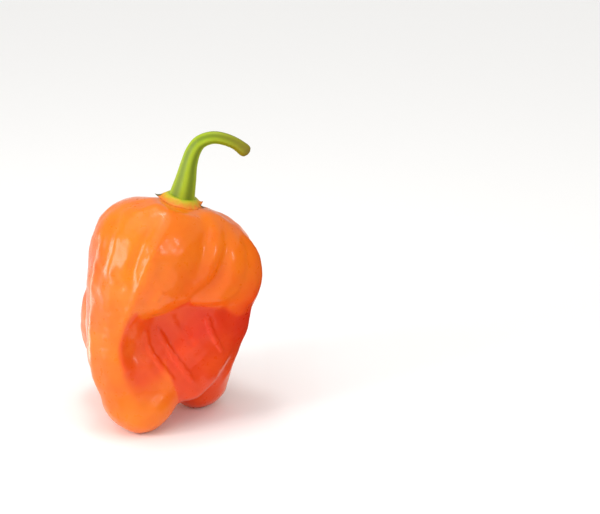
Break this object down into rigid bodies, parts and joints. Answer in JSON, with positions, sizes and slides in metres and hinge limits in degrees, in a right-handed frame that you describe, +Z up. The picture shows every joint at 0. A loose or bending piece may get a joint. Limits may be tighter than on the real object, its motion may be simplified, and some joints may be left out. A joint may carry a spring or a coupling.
{
  "type": "habanero pepper",
  "caption": "Ripe orange habanero pepper, folded and lobed, with a ragged calyx and a bent green stem, standing on the tips of its lobes.",
  "frame": {"origin": "on the surface it stands on, under the middle of its outline", "axes": "+Z up through the crown; the open fold faces -Y and the stem bends towards +X"},
  "size_m": [0.0426, 0.0387, 0.0676],
  "materials": {
    "fruit_skin": "waxy gloss",
    "calyx_skin": "dull, dry edges",
    "stem_skin": "satin"
  },
  "bodies": {
    "root": {"fruit": "fruit_skin", "calyx": "calyx_skin", "stem": "stem_skin"}
  },
  "joints": []
}
